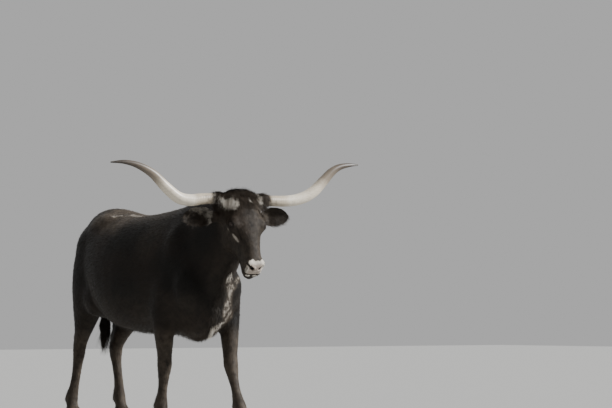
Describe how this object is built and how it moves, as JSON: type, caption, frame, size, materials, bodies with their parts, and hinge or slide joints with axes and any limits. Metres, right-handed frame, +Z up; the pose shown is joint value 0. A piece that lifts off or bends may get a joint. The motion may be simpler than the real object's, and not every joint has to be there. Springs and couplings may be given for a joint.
{
  "type": "texas longhorn",
  "caption": "Life-size standing longhorn, dark coated, stepping slowly, with wide upswept horns and its head turned a little.",
  "frame": {"origin": "on the floor under the middle of the bounding box", "axes": "+Z up, the animal faces -Y, its left side is +X, the body's length runs along Y"},
  "size_m": [1.5787, 2.0585, 1.6129],
  "materials": {
    "hide": "short glossy dark hair",
    "horn": "polished ivory horn with grey tips",
    "hoof": "dull dark hoof horn",
    "eye": "wet dark eye",
    "hair": "long coarse dark hair"
  },
  "bodies": {
    "root": {"head": "hide", "neck": "hide", "torso": "hide", "foreleg_right": "hide", "foreleg_left": "hide", "hind_leg_right": "hide", "hind_leg_left": "hide", "hoof_fore_right_inner": "hoof", "hoof_fore_right_outer": "hoof", "hoof_fore_left_inner": "hoof", "hoof_fore_left_outer": "hoof", "hoof_hind_right_inner": "hoof", "hoof_hind_right_outer": "hoof", "hoof_hind_left_inner": "hoof", "hoof_hind_left_outer": "hoof", "horn_right": "horn", "ear_right": "hide", "eye_right": "eye", "horn_left": "horn", "ear_left": "hide", "eye_left": "eye", "tail": "hide", "tail_switch": "hair"}
  },
  "joints": []
}
